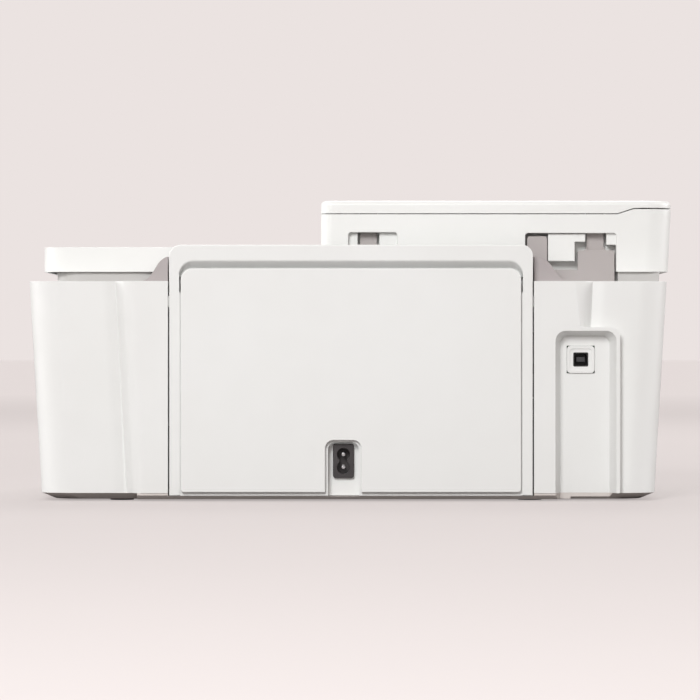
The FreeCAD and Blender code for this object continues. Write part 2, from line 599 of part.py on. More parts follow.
def hopper_cheeks():
    near = [(140.2, 148.0), (136.6, 149.8), (132.3, 155.6), (128.4, 161.3), (123.4, 164.2)]
    far = [(144.6, 148.0), (140.9, 150.4), (137.2, 155.2), (133.0, 160.6), (128.9, 163.4), (123.4, 164.2)]
    return Part.makeCompound([hopper_cheek(1, near), hopper_cheek(-1, far)])


def width_guide(side):
    x0, x1 = sorted((side * 109.0, side * 111.0))
    fence = upright(x0, x1, 92.0, 168.0, 153.0, 165.7, 0.4)
    f0, f1 = sorted((side * 109.0, side * 119.0))
    flange = box(f0, f1, 163.9, 165.7, 92.0, 120.0)
    return join([fence, flange])


def pickup_roller():
    """Rear pick-up shaft with two rubber tyres."""
    y, z = PICK_AXIS
    shaft = rod_x(PLATE_X[0] - 3.0, PLATE_X[1] + 3.3, y, z, 3.0)
    return join([shaft] + [rod_x(x, x + 24.0, y, z, 13.0) for x in (-46.0, 22.0)])


def paper_ramp():
    """The sloping floor that guides sheets from the hopper to the feed roller."""
    outline = [(164.5, 90.0), (164.5, 72.0), (140.0, 62.0), (66.0, 44.0), (66.0, 42.0), (142.0, 59.0), (165.5, 69.0),
               (165.5, 90.0)]
    return side_prism(outline, -122.0, PLATE_X[1])


# ---- print engine ----------------------------------------------------------------------
def gear(teeth, y, z, turn, bore):
    """A spur gear on an X axis, its teeth drawn as trapezoids."""
    pitch_r = MODULE * teeth / 2
    root, tip = pitch_r - 1.15 * MODULE, pitch_r + 0.85 * MODULE
    step = 2 * math.pi / teeth
    points = []
    for k in range(teeth):
        middle = math.radians(turn) + k * step
        for angle, r in ((-0.29, root), (-0.13, tip), (0.13, tip), (0.29, root)):
            a = middle + angle * step
            points.append((y + r * math.cos(a), z + r * math.sin(a)))
    wheel = side_prism(points, *GEAR_X)
    return cut(wheel, [rod_x(GEAR_X[0] - 1, GEAR_X[1] + 1, y, z, bore)])


def roller(y, shaft_r, tyre_r):
    """A shaft through both side plates, with its gear and five tyres."""
    shaft = rod_x(GEAR_X[0] - 0.5, PLATE_X[1] + 3.3, y, SHAFT_Z, shaft_r)
    tyres = [rod_x(-104.0 + 46.0 * k, -82.0 + 46.0 * k, y, SHAFT_Z, tyre_r) for k in range(5)]
    return join([shaft, gear(GEAR_TEETH, y, SHAFT_Z, 0.0, shaft_r - 0.5)] + tyres)


def feed_roller():
    return roller(FEED_Y, 4.0, 8.4)


def exit_roller():
    return roller(EXIT_Y, 3.0, 6.4)


def idler_gear():
    return gear(GEAR_TEETH, IDLER_Y, SHAFT_Z, 180.0 / GEAR_TEETH, 2.0 + RUN)


def side_plate(x0):
    plate = side_prism([(-62.0, 12.0), (142.0, 12.0), (142.0, 100.0), (64.0, 138.0), (-62.0, 138.0)],
                       x0, x0 + PLATE_T)
    places = [(FEED_Y, SHAFT_Z, 4.0), (EXIT_Y, SHAFT_Z, 3.0), (*PICK_AXIS, 3.0)]
    cuts = [rod_x(x0 - 1, x0 + 3, y, z, r + RUN) for y, z, r in places]
    cuts.append(rod_x(x0 - 1, x0 + 3, IDLER_Y, SHAFT_Z, 2.0))
    cuts.append(rod_x(x0 - 1, x0 + 3, FEED_Y + 30.0, SHAFT_Z, 5.5))
    foot = box(x0, x0 + PLATE_T, -62.0, 142.0, FLOOR_Z, 12.0)
    return cut(join([plate, foot]), cuts)


def side_plates():
    stub = rod_x(GEAR_X[0] - 0.5, PLATE_X[0] + PLATE_T + 3.0, IDLER_Y, SHAFT_Z, 2.0)
    return Part.makeCompound([join([side_plate(PLATE_X[0]), stub]), side_plate(PLATE_X[1])])


def feed_motor():
    y = FEED_Y + 30.0
    can = rod_x(PLATE_X[0] + PLATE_T, PLATE_X[0] + 32.0, y, SHAFT_Z, 14.0)
    return cut(can, [rod_x(PLATE_X[0], PLATE_X[0] + 12.0, y, SHAFT_Z, 1.0 + RUN)])


def feed_pinion():
    y = FEED_Y + 30.0
    shaft = rod_x(GEAR_X[0], PLATE_X[0] + 11.0, y, SHAFT_Z, 1.0)
    return join([gear(PINION_TEETH, y, SHAFT_Z, 15.0, 0.5), shaft])


def carriage_rail():
    web = box(PLATE_X[0] + PLATE_T, PLATE_X[1], 40.0, 42.0, 92.0, 128.0)
    top = box(PLATE_X[0] + PLATE_T, PLATE_X[1], 32.0, 42.0, 126.0, 128.0)
    low = box(PLATE_X[0] + PLATE_T, PLATE_X[1], 40.0, 64.0, 92.0, 94.0)
    post = rod_z(PULLEY_X[1], PULLEY_Y, 93.0, 116.0, 1.5)
    hole = rod_z(PULLEY_X[0], PULLEY_Y, 91.0, 95.0, 3.0)
    return cut(join([web, top, low, post]), [hole])


def carriage():
    x0, x1 = CARRIAGE_X
    body = box(x0, x1, -30.0, 38.8, 70.0, 120.0)
    wells = [box(x, x + HEAD_W, -24.0, 22.0, 73.0, 121.0) for x in HEAD_X]
    nozzles = [box(x + 6.0, x + 18.5, -14.0, 14.0, 69.0, 74.0) for x in HEAD_X]
    body = cut(body, wells + nozzles + [box(x0 - 1, x1 + 1, 30.0, 40.0, 112.0, 121.0)])
    hook = box(x0 + 8.0, x1 - 8.0, 29.0, 31.5, 111.0, 125.4)
    return join([body, hook] + latch_hinge())


def latch_hinge():
    y, z = LATCH_AXIS
    ears = [side_prism([(y - 4, 119.0), (y + 2.5, 119.0), (y + 2.0, z + 1.7), (y - 2.0, z + 1.7)], x, x + 2.0)
            for x in (CARRIAGE_X[0], CARRIAGE_X[1] - 2.0)]
    return ears + [rod_x(*CARRIAGE_X, y, z, LID_PIN_R)]


def printheads():
    heads = []
    for x in HEAD_X:
        head = box(x + 0.4, x + HEAD_W - 0.4, -23.6, 21.6, 73.2, 116.0)
        nose = box(x + 6.4, x + 18.1, -13.6, 13.6, 68.2, 74.0)
        heads.append(join([head, nose]))
    return Part.makeCompound(heads)


def head_latch():
    x0, x1 = CARRIAGE_X[0] + 2.4, CARRIAGE_X[1] - 2.4
    plate = box(x0, x1, -28.0, LATCH_AXIS[0], 120.4, 123.0)
    barrel = rod_x(x0, x1, *LATCH_AXIS, 1.9)
    return cut(join([plate, barrel]), [rod_x(*CARRIAGE_X, *LATCH_AXIS, LID_PIN_R + RUN)])


def pulley(x, bore_r):
    wheel = rod_z(x, PULLEY_Y, BELT_Z[0], BELT_Z[1], PULLEY_R)
    flanges = [rod_z(x, PULLEY_Y, z, z + 0.8, PULLEY_R + 1.6) for z in (BELT_Z[0] - 0.9, BELT_Z[1] + 0.1)]
    hub = rod_z(x, PULLEY_Y, BELT_Z[0] - 0.9, BELT_Z[1] + 0.9, PULLEY_R - 1)
    return cut(join([wheel, hub] + flanges), [rod_z(x, PULLEY_Y, 100.0, 120.0, bore_r)])


def drive_belt():
    def loop(r):
        wires = slab(PULLEY_X[0] - r, PULLEY_X[1] + r, PULLEY_Y - r, PULLEY_Y + r, BELT_Z[0] + 0.4, BELT_Z[1] - 0.4,
                     r - 0.01)
        return wires
    return cut(loop(PULLEY_R + 1.15), [loop(PULLEY_R + 0.15)])


def carriage_motor():
    return join([rod_z(PULLEY_X[0], PULLEY_Y, 66.0, 91.8, 12.0),
                 rod_z(PULLEY_X[0], PULLEY_Y, 91.0, 116.0, 1.5)])


def platen():
    plate = box(-114.0, 112.0, -24.0, 26.0, 58.0, 61.0)
    ribs = [box(-110.0 + 18.0 * k, -108.6 + 18.0 * k, -22.0, 24.0, 61.0, 64.5) for k in range(13)]
    return join([plate] + ribs)


def service_station():
    """The parking tub with a rubber cap for each print head."""
    outer = box(-167.0, -117.2, -28.0, 30.0, FLOOR_Z, 60.0)
    tub = cut(outer, [box(-165.0, -119.2, -25.5, 27.5, 20.0, 70.0)])
    caps = [slab(x + 4.0, x + 20.0, -16.0, 16.0, 19.0, 66.5, 3.0) for x in HEAD_X]
    return join([tub] + caps)


# ---- electrics -------------------------------------------------------------------------
def power_supply():
    x = INLET[0]
    return slab(x - 32.0, x + 78.0, 146.0, 160.0, FLOOR_Z, 52.0, 2.0)


def power_inlet():
    x, z = INLET
    block = upright(x - 6.9, x + 6.9, z - 11.4, z + 11.4, 160.2, 172.5, 1.5)
    sockets = [rod_y(x, 162.0, 174.0, z + s * INLET_PITCH / 2, 4.3) for s in (-1, 1)]
    bridge = box(x - 2.6, x + 2.6, 162.0, 174.0, z - INLET_PITCH / 2, z + INLET_PITCH / 2)
    pins = [rod_y(x, 161.0, 171.0, z + s * INLET_PITCH / 2, 1.2) for s in (-1, 1)]
    return join([cut(block, sockets + [bridge])] + pins)


def usb_port():
    """The square socket and its bezel, standing on the main board."""
    x, z = USB
    bezel = upright(x - 9.3, x + 9.3, z - 9.2, z + 9.2, 164.0, 167.2, 2.6)
    shell = upright(x - 6.0, x + 6.0, z - 5.6, z + 5.6, 149.3, 166.6, 0.8)
    hole = upright(x - 4.2, x + 4.2, z - 3.9, z + 3.9, 155.0, 170.0, (0.0, 0.0, 1.6, 1.6))
    step = upright(x - 7.4, x + 7.4, z - 7.2, z + 7.2, 166.5, 170.0, 2.0)
    mouth = upright(x - 5.0, x + 5.0, z - 4.7, z + 4.7, 166.1, 170.0, 1.0)
    tongue = box(x - 2.8, x + 2.8, 154.0, 165.0, z - 1.6, z + 1.6)
    return join([cut(join([bezel, shell]), [hole, step, mouth]), tongue])


def main_board():
    board = box(-195.0, -126.0, 147.6, 149.2, FLOOR_Z, 112.0)
    chips = [box(x, x + w, 145.6, 147.6, z, z + h) for x, z, w, h in
             ((-190.0, 40.0, 22.0, 22.0), (-158.0, 34.0, 18.0, 12.0), (-150.0, 62.0, 12.0, 18.0))]
    return join([board] + chips)


# ---- export ----------------------------------------------------------------------------
NODES = {
    "base_pan": base_pan, "main_casing": main_casing, "rubber_feet": rubber_feet, "case_screws": case_screws,
    "neck_frame": neck_frame, "scanner_base": scanner_base, "scanner_glass": scanner_glass,
    "scan_rail": scan_rail, "scan_bar": scan_bar, "scanner_lid": scanner_lid, "lid_pad": lid_pad,
    "lid_hinge_pins": hinge_pins, "lid_hinge_posts": lid_hinge_posts, "hinge_boss": hinge_boss,
    "hinge_guide": hinge_guide, "deck_cover": deck_cover, "tank_lid": tank_lid, "tank_tray": tank_tray,
    "ink_tanks": ink_tanks, "control_panel": control_panel, "display": display, "front_door": front_door,
    "sight_window": sight_window, "output_tray": output_tray, "output_extender": output_extender,
    "rear_tray_frame": rear_tray_frame, "paper_support": paper_support, "hopper_cheeks": hopper_cheeks,
    "paper_ramp": paper_ramp, "pickup_roller": pickup_roller, "feed_roller": feed_roller,
    "exit_roller": exit_roller, "idler_gear": idler_gear, "side_plates": side_plates,
    "feed_motor": feed_motor, "feed_pinion": feed_pinion, "carriage_rail": carriage_rail,
    "carriage": carriage, "printheads": printheads, "head_latch": head_latch,
    "drive_belt": drive_belt, "carriage_motor": carriage_motor,
    "platen": platen, "service_station": service_station, "power_supply": power_supply,
    "power_inlet": power_inlet, "usb_port": usb_port, "main_board": main_board,
}


def repeated_nodes():
    """Nodes that come from one shape at several places."""
    nodes = {
        "width_guide_left": width_guide(1), "width_guide_right": width_guide(-1),
        "motor_pulley": pulley(PULLEY_X[0], 1.5), "belt_idler": pulley(PULLEY_X[1], 1.5 + RUN),
    }
    for i, colour in enumerate(TANKS):
        nodes["cap_" + colour] = tank_cap(i)
    for name in BUTTONS:
        nodes["button_" + name] = button(name)
    return nodes


def check_and_write(name, shape):
    if not shape.isValid():
        print("INVALID", name)
    shape.exportStep("parts/%s.step" % name)
    b = shape.optimalBoundingBox()
    print("%-18s %2d solids  x %.1f..%.1f  y %.1f..%.1f  z %.1f..%.1f" % (
        name, len(shape.Solids), b.XMin, b.XMax, b.YMin, b.YMax, b.ZMin, b.ZMax))


def main():
    for name, make in NODES.items():
        check_and_write(name, make())
    for name, shape in repeated_nodes().items():
        check_and_write(name, shape)


main()
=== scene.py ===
# %% [markdown]
# # An inkjet printer, seen from its rear
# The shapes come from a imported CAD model. This lesson dresses them: it rounds the edges that a
# mould rounds, gives every part a procedural material, and lights the result like a product shot.

# %% Load the frame
import json
import math
from math import radians

import bmesh
import bpy
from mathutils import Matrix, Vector


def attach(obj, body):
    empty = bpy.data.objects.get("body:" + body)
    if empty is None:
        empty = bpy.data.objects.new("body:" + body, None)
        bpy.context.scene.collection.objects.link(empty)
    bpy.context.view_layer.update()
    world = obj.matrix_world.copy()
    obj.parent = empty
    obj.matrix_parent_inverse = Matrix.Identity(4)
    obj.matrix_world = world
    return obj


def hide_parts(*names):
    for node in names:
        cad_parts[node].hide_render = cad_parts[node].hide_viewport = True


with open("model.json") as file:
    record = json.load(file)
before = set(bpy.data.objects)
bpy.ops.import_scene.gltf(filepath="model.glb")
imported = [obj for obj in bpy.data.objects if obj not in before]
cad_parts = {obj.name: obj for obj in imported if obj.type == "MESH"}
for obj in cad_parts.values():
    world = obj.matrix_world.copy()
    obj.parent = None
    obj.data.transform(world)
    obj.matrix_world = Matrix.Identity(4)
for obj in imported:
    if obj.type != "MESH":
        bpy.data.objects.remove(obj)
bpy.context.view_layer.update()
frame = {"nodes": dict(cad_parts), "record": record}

BODY_OF = {node: body for body, nodes in frame["record"]["behaviour"]["bodies"].items() for node in nodes}
SLOT_OF = {part["node"]: part["material_slot"] for part in frame["record"]["subparts"]}
MM = 0.001

# %% [markdown]
# ## A small kit for node materials
# Every material here has the same skeleton. Object coordinates feed a broad noise, which drifts the
# colour a little, and a fine pattern, which drives the bump and the roughness. Object coordinates
# are in metres and stick to the part when it moves, so one scale means one real grain size.
# Painting textures by hand would also work, but node patterns have no seams and no pixels.


# %% Material kit
class Surface:
    """A principled material that is built up one pattern at a time."""

    def __init__(self, name, colour, rough, metal=0.0):
        self.material = bpy.data.materials.new(name)
        self.material.use_nodes = True
        self.tree = self.material.node_tree
        self.shader = self.tree.nodes["Principled BSDF"]
        self.shader.inputs["Metallic"].default_value = metal
        self.shader.inputs["Roughness"].default_value = rough
        self.colour, self.rough = colour, rough
        self.coords = self.tree.nodes.new("ShaderNodeTexCoord").outputs["Object"]
        self.material.diffuse_color = (*colour, 1.0)

    def node(self, kind, **inputs):
        made = self.tree.nodes.new(kind)
        for key, value in inputs.items():
            self.feed(made.inputs[key.replace("_", " ")], value)
        return made

    def feed(self, socket, value):
        if isinstance(value, bpy.types.NodeSocket):
            self.tree.links.new(value, socket)
        else:
            socket.default_value = value

    def stretched(self, scale):
        """Object coordinates multiplied by a scale per axis."""
        return self.node("ShaderNodeMapping", Vector=self.coords, Scale=scale).outputs["Vector"]

    def noise(self, scale, detail=2.0, vector=None):
        made = self.node("ShaderNodeTexNoise", Vector=vector or self.coords, Scale=scale, Detail=detail)
        return made.outputs["Fac"]

    def cells(self, scale, feature="F1"):
        made = self.node("ShaderNodeTexVoronoi", Vector=self.coords, Scale=scale)
        made.feature = feature
        return made.outputs["Distance"]

    def spread(self, value, low, high, start=0.35, end=0.65):
        made = self.node("ShaderNodeMapRange", Value=value)
        for key, number in (("From Min", start), ("From Max", end), ("To Min", low), ("To Max", high)):
            made.inputs[key].default_value = number
        return made.outputs["Result"]

    def mix(self, factor, first, second):
        made = self.tree.nodes.new("ShaderNodeMix")
        made.data_type = "RGBA"
        for socket, value in ((made.inputs[0], factor), (made.inputs[6], first), (made.inputs[7], second)):
            self.feed(socket, value)
        return made.outputs[2]

    def drift(self, pattern, amount, hue=(0.0, 0.0, 0.0)):
        """Lets a pattern move the base colour by a fraction of itself."""
        dark = [c * (1 - amount) - h for c, h in zip(self.colour, hue)]
        light = [min(1.0, c * (1 + amount) + h) for c, h in zip(self.colour, hue)]
        colour = self.mix(self.spread(pattern, 0.0, 1.0), (*dark, 1.0), (*light, 1.0))
        self.feed(self.shader.inputs["Base Color"], colour)
        return self

    def gloss(self, pattern, amount):
        low, high = max(0.02, self.rough - amount), min(1.0, self.rough + amount)
        self.feed(self.shader.inputs["Roughness"], self.spread(pattern, low, high))
        return self

    def relief(self, pattern, depth, strength=1.0):
        bump = self.node("ShaderNodeBump", Height=pattern, Strength=strength, Distance=depth)
        self.feed(self.shader.inputs["Normal"], bump.outputs["Normal"])
        return self

    def set(self, **inputs):
        for key, value in inputs.items():
            self.shader.inputs[key.replace("_", " ")].default_value = value


print("material kit ready")

# %% [markdown]
# ## Moulded plastics
# Printer shells are injection moulded in spark-eroded steel, so they carry a fine pebbly grain of a
# few tenths of a millimetre. Voronoi cells give the pebbles and a second noise breaks them up. A
# very slow noise stands in for the uneven flow of the plastic.


# %% Plastic recipes
def moulded(name, colour, rough=0.42, grain=0.00045, depth=0.00003, tone=0.012):
    made = Surface(name, colour, rough)
    pebble = made.cells(1.0 / grain, "SMOOTH_F1")
    broken = made.noise(2.3 / grain, 1.0)
    blend = made.node("ShaderNodeMath")
    blend.operation = "MULTIPLY_ADD"
    for socket, value in zip(blend.inputs, (broken, 0.5, pebble)):
        made.feed(socket, value)
    made.relief(blend.outputs[0], depth, 0.55)
    made.gloss(made.noise(60.0, 4.0), 0.06)
    return made.drift(made.noise(9.0, 3.0), tone, (0.0, 0.001, 0.003)).material


def glossy(name, colour, rough=0.14, tone=0.02):
    made = Surface(name, colour, rough)
    made.relief(made.noise(420.0, 1.0), 0.00002, 0.25)
    made.gloss(made.noise(90.0, 5.0), 0.05)
    made.set(Coat_Weight=0.25, Coat_Roughness=0.08)
    return made.drift(made.noise(14.0, 3.0), tone).material


PAINTS = {
    "casing_white": moulded("casing_white", (0.800, 0.812, 0.798), 0.36),
    "scanner_white": moulded("scanner_white", (0.825, 0.840, 0.822), 0.34),
    "neck_grey": moulded("neck_grey", (0.490, 0.482, 0.470), 0.42),
    # The pan's grey is set above the plastic's own tone to lift the shade under the casing. It is grey
    # plastic with painted light.
    "pan_grey": moulded("pan_grey", (0.640, 0.600, 0.570), 0.50, 0.0006),
    "mauve_plastic": moulded("mauve_plastic", (0.430, 0.400, 0.392), 0.40, 0.0004),
    "dark_grey": moulded("dark_grey", (0.030, 0.030, 0.033), 0.45, tone=0.06),
    "tray_grey": moulded("tray_grey", (0.170, 0.165, 0.165), 0.45, tone=0.04),
    "black_plastic": moulded("black_plastic", (0.042, 0.037, 0.037), 0.34, tone=0.10),
    # A retoned copy of the mauve plastic for the hopper cheeks. Its tone is painted light, set for how lit
    # the cheeks look, not a second plastic.
    "mauve_light": moulded("mauve_light", (0.385, 0.352, 0.352), 0.40, 0.0004),
    # Near black for the data socket's well: painted shade, not the socket's own colour.
    "well_black": moulded("well_black", (0.008, 0.008, 0.008), 0.40, tone=0.10),
    "gear_white": moulded("gear_white", (0.720, 0.700, 0.640), 0.36, 0.0012, tone=0.03),
    "head_grey": moulded("head_grey", (0.050, 0.050, 0.060), 0.40, tone=0.05),
    "latch_blue": moulded("latch_blue", (0.020, 0.070, 0.210), 0.36, tone=0.05),
    "panel_dark": glossy("panel_dark", (0.012, 0.012, 0.015)),
    "ink_black": glossy("ink_black", (0.010, 0.010, 0.012)),
    "ink_cyan": glossy("ink_cyan", (0.005, 0.210, 0.420)),
    "ink_magenta": glossy("ink_magenta", (0.420, 0.010, 0.130)),
    "ink_yellow": glossy("ink_yellow", (0.720, 0.500, 0.010)),
}
print(len(PAINTS), "plastics")

# %% [markdown]
# ## Rubbers, metals and clear parts
# Rubber is dark, rough and slightly dusty. Drawn or ground metal has streaks, which are one noise
# squeezed along the part. Zinc plate shows angular crystals, so its colour follows Voronoi cells.
# Clear plastics are a principled surface with transmission, and a faint haze in the roughness.


# %% Rubber and metal recipes
def rubber(name, colour, rough=0.72, grain=0.0007):
    made = Surface(name, colour, rough)
    made.relief(made.noise(1.0 / grain, 4.0), 0.00006, 0.6)
    made.gloss(made.noise(150.0, 3.0), 0.10)
    return made.drift(made.noise(30.0, 5.0), 0.10).material


def streaked(name, colour, rough=0.30, along=0):
    made = Surface(name, colour, rough, 1.0)
    scale = [2600.0, 2600.0, 2600.0]
    scale[along] = 35.0
    lines = made.noise(1.0, 3.0, made.stretched(scale))
    made.relief(lines, 0.00001, 0.4)
    made.gloss(lines, 0.10)
    return made.drift(made.noise(45.0, 4.0), 0.06).material


def spangled(name, colour, rough=0.42):
    made = Surface(name, colour, rough, 1.0)
    crystal = made.node("ShaderNodeTexVoronoi", Vector=made.coords, Scale=160.0)
    shade = made.node("ShaderNodeSeparateColor", Color=crystal.outputs["Color"]).outputs[0]
    made.relief(made.noise(900.0, 2.0), 0.00001, 0.3)
    made.gloss(shade, 0.08)
    return made.drift(shade, 0.10).material


def clear(name, colour, rough, through, ior=1.49):
    made = Surface(name, colour, rough)
    made.relief(made.noise(35.0, 2.0), 0.0001, 0.10)
    made.gloss(made.noise(120.0, 5.0), 0.04)
    made.set(Transmission_Weight=through, IOR=ior)
    return made.drift(made.noise(20.0, 2.0), 0.015).material


PAINTS.update({
    "rubber_dark": rubber("rubber_dark", (0.022, 0.022, 0.023)),
    "rubber_grey": rubber("rubber_grey", (0.080, 0.076, 0.074)),
    "belt_rubber": rubber("belt_rubber", (0.014, 0.014, 0.015), 0.60, 0.0004),
    "button_grey": rubber("button_grey", (0.110, 0.110, 0.116), 0.55, 0.0004),
    "cap_grey": rubber("cap_grey", (0.020, 0.020, 0.022), 0.50),
    "cap_cyan": rubber("cap_cyan", (0.010, 0.220, 0.430), 0.50),
    "cap_magenta": rubber("cap_magenta", (0.420, 0.015, 0.120), 0.50),
    "cap_yellow": rubber("cap_yellow", (0.680, 0.450, 0.020), 0.50),
    "steel": streaked("steel", (0.560, 0.560, 0.570)),
    "screw_steel": streaked("screw_steel", (0.120, 0.120, 0.125), 0.38, 2),
    "port_steel": streaked("port_steel", (0.640, 0.640, 0.650), 0.26, 1),
    "motor_can": streaked("motor_can", (0.500, 0.500, 0.515), 0.34, 2),
    "brass": streaked("brass", (0.600, 0.400, 0.130), 0.30, 0),
    "galvanised": spangled("galvanised", (0.480, 0.490, 0.500)),
    "window_clear": clear("window_clear", (0.640, 0.660, 0.690), 0.10, 0.85),
    "tank_clear": clear("tank_clear", (0.820, 0.830, 0.840), 0.30, 0.80),
    "bed_glass": clear("bed_glass", (0.860, 0.930, 0.910), 0.03, 0.95, 1.52),
    "display_glass": glossy("display_glass", (0.010, 0.014, 0.016), 0.06),
})
print(len(PAINTS), "materials")


# %% Foam and circuit board
def foam(name, colour):
    made = Surface(name, colour, 0.9)
    made.relief(made.cells(900.0), 0.0002, 0.6)
    made.set(Sheen_Weight=0.3)
    return made.drift(made.noise(260.0, 4.0), 0.03).material


def circuit(name, colour):
    """Solder mask over copper: brick edges make the tracks, small cells make the pads."""
    made = Surface(name, colour, 0.28)
    tracks = made.node("ShaderNodeTexBrick", Vector=made.coords, Scale=90.0)
    tracks.inputs["Mortar Size"].default_value = 0.05
    pads = made.spread(made.cells(260.0), 1.0, 0.0, 0.16, 0.20)
    copper = made.mix(tracks.outputs["Fac"], (*colour, 1.0), (0.020, 0.160, 0.070, 1.0))
    made.feed(made.shader.inputs["Base Color"], made.mix(pads, copper, (0.55, 0.54, 0.50, 1.0)))
    return made.relief(tracks.outputs["Fac"], 0.00005, 0.4).material


PAINTS["pad_white"] = foam("pad_white", (0.86, 0.86, 0.85))
PAINTS["board_green"] = circuit("board_green", (0.008, 0.075, 0.032))
missing = sorted(set(SLOT_OF.values()) - set(PAINTS))
print("slots without a material:", missing)

# %% [markdown]
# ## Rounding a CAD part
# CAD gives razor edges, and a razor edge never catches the light. The cure is a bevel. We copy the
# CAD mesh, weld its triangles, drop the flat diagonals, and bevel only edges sharper than an angle.
# A bevel modifier would do the same, but the mesh operator lets us choose edges by their place.
# A weighted normal modifier then keeps the large flats flat and puts all the turning in the bevel.

# %% Copy and bevel
SHARP = radians(24)


def copy_of(node):
    bm = bmesh.new()
    bm.from_mesh(frame["nodes"][node].data)
    bmesh.ops.remove_doubles(bm, verts=bm.verts, dist=1e-6)
    bmesh.ops.dissolve_limit(bm, angle_limit=radians(0.6), verts=bm.verts, edges=bm.edges)
    return bm


def is_sharp(edge, least=SHARP):
    return len(edge.link_faces) == 2 and edge.calc_face_angle() > least


def middle(edge):
    return (edge.verts[0].co + edge.verts[1].co) / (2 * MM)


def bevel(bm, edges, width, segments):
    """Rounds the given edges by a width in mm."""
    bmesh.ops.bevel(bm, geom=edges, offset=width * MM, offset_type="OFFSET", affect="EDGES",
                    segments=segments, profile=0.5, material=-1, clamp_overlap=False, loop_slide=True)


def soften(bm, width, segments=3, where=None):
    """Bevels the sharp edges, all of them or those that where(middle in mm) picks."""
    edges = [e for e in bm.edges if is_sharp(e) and (where is None or where(middle(e)))]
    bevel(bm, edges, width, segments)


# %% Turn a bmesh into a finished piece
def finish_piece(name, bm, body, slot, paints=None, flat=False):
    bmesh.ops.recalc_face_normals(bm, faces=bm.faces)
    mesh = bpy.data.meshes.new(name)
    bm.to_mesh(mesh)
    bm.free()
    made = bpy.data.objects.new(name, mesh)
    bpy.context.collection.objects.link(made)
    for paint in paints or [slot]:
        mesh.materials.append(PAINTS[paint])
    if not flat:
        mesh.shade_smooth()
        mesh.set_sharp_from_angle(angle=radians(38))
        weigh = made.modifiers.new("flat faces stay flat", "WEIGHTED_NORMAL")
        weigh.keep_sharp = True
    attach(made, body)
    return made


# %% [markdown]
# ## Keeping a bevel inside the part
# A bevel wider than a thin wall or a tight corner folds over itself, and the folded triangles show
# as black wedges. They face against their own polygon, so their area can be measured. We bevel a
# copy, measure, and try a narrower width while the area is too large. The operator's own clamp
# would stop the overlap too, but one tight corner then thins every bevel on the part.

# %% Bevel that can't fold over
NARROWER = (1.0, 0.7, 0.5, 0.35, 0.2, 0.1)     # shares of the bevel width to try in turn
TURNED = 0.3                                   # least cosine between a sound triangle and its face


def overrun(bm):
    """Area in mm2 of triangles turned against their own face, the mark of too wide a bevel."""
    bm.normal_update()
    area = 0.0
    for loops in bm.calc_loop_triangles():
        a, b, c = (loop.vert.co for loop in loops)
        across = (b - a).cross(c - a)
        if across.dot(loops[0].face.normal) < TURNED * across.length:
            area += across.length / 2
    return area / MM ** 2


def spot(face):
    """The middle of a face in mm."""
    return face.calc_center_median() / MM


def fitting_bevel(base, width, segments, where, allow):
    """A bevelled copy and the width that it took, narrowed until little of it is folded."""
    for share in NARROWER:
        bm = base.copy()
        soften(bm, width * share, segments, where)
        if overrun(bm) < overrun(base) + allow or share == NARROWER[-1]:
            return bm, width * share
        bm.free()


# %% The usual treatment
def rounded(node, width=0.4, segments=3, edit=None, paints=None, paint=None, where=None,
            allow=0.3):
    """Copies a CAD node, edits, bevels and paints the copy, and lets it replace the node."""
    bm, used = copy_of(node), width
    if edit:
        edit(bm)
    if width:
        bm, used = fitting_bevel(bm, width, segments, where, allow)
    if paint:
        for face in bm.faces:
            face.material_index = paint(face)
    made = finish_piece(node + "_shell", bm, BODY_OF[node], SLOT_OF[node], paints)
    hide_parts(node)
    print(f"{node:18} bevel {used:4.2f} mm {len(made.data.polygons):6} faces")


# %% [markdown]
# ## The main casing
# The rear of the casing has two outer panels set back from a raised middle. In CAD the step is a
# flat slope. On the real moulding each outer panel rolls inward, meets the step in a crease, and
# the step's crest is a soft curve. We slice the panel into strips and sink them along a parabola
# for the roll, and a wide bevel rounds the crest. A sculpted mesh could do this too, but a formula
# keeps the crease dead straight.

# %% Casing
CASE_Z = (5.2, 147.6)
RECESS_TOP = 115.0                             # above it the panel is plain
RECESS_MID_X = -136.5
FEET = ((158.6, 151.2, 1, 0.0), (-162.9, -155.5, -1, RECESS_TOP))   # X top, X bottom, side, lowest Z
OUTER_Y, RAISED_Y = 171.5, 178.0
ROLL_RUN, ROLL_DEPTH, CREST_BEVEL = 9.5, 2.3, 5.0
STRIPS = 6


def from_foot(p, top, low, side):
    """How far outside the foot of a step a point lies, in mm."""
    foot = low + (top - low) * (p.z - CASE_Z[0]) / (CASE_Z[1] - CASE_Z[0])
    return side * (p.x - foot)


def slice_faces(bm, faces, place, normal):
    parts = set(faces)
    for f in faces:
        parts.update(f.edges)
        parts.update(f.verts)
    bmesh.ops.bisect_plane(bm, geom=list(parts), dist=1e-7, plane_co=place, plane_no=normal)


def roll_off(bm, top, low, side, least_z):
    """Cuts the outer panel into strips beside the foot, then sinks them along a parabola."""
    for step in range(STRIPS + 1):
        x = top + side * ROLL_RUN * step / STRIPS
        faces = [f for f in bm.faces if f.normal.y > 0.5 and side * f.calc_center_median().x > 0.12
                 and f.calc_center_median().z > least_z * MM]
        slice_faces(bm, faces, (x * MM, 0.0, CASE_Z[1] * MM), (CASE_Z[1] - CASE_Z[0], 0.0, low - top))
    for v in bm.verts:
        p = v.co / MM
        away = from_foot(p, top, low, side)
        if abs(p.y - OUTER_Y) < 0.02 and -0.05 < away < ROLL_RUN and p.z > least_z - 0.1:
            v.co.y -= ROLL_DEPTH * MM * (1 - away / ROLL_RUN) ** 2


def is_crest(edge):
    run, p = edge.verts[1].co - edge.verts[0].co, middle(edge)
    return (p.y > RAISED_Y - 0.1 and 138.0 < abs(p.x) < 160.0 and abs(run.z) > 0.9 * run.length
            and is_sharp(edge, radians(8)))


